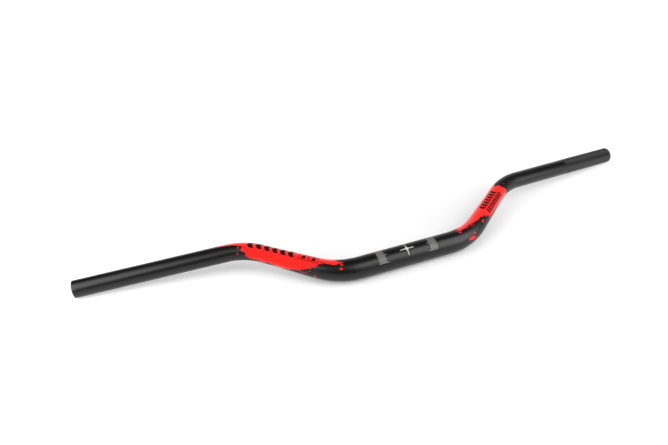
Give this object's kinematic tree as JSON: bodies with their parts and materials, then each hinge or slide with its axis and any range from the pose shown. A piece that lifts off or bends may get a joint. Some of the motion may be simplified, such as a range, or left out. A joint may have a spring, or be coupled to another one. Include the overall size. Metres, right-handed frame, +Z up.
{
  "type": "handlebar",
  "caption": "Riser handlebar: one bent aluminium tube, thick in the stem clamp zone and tapering to the grips, with printed splash films on the rises and a knurled right end.",
  "frame": {"origin": "middle of the stem clamp zone, on the tube's axis", "axes": "+X along the clamp zone towards the knurled right end (the rider's throttle side), +Y from the clamp zone towards the grips, +Z up, as the bar lies on a table on its clamp zone and its two tips. The plane of the rises leans 13.76 degrees up from +Y in this pose; in use the bar turns about X in the stem's clamp, so that angle is free."},
  "size_m": [0.8096, 0.126, 0.0414],
  "materials": {
    "black_anodised": "satin shot-peened black anodising",
    "red_film": "satin red printed film",
    "black_print": "black ink on the film",
    "pale_print": "pale grey ink on the tube"
  },
  "bodies": {
    "root": {"bar_tube": "black_anodised", "left_splash_film": "red_film", "left_splash_print": "black_print", "right_splash_film": "red_film", "right_splash_print": "black_print", "centre_cross_mark": "pale_print", "left_clamp_scale": "pale_print", "right_clamp_scale": "pale_print"}
  },
  "joints": []
}
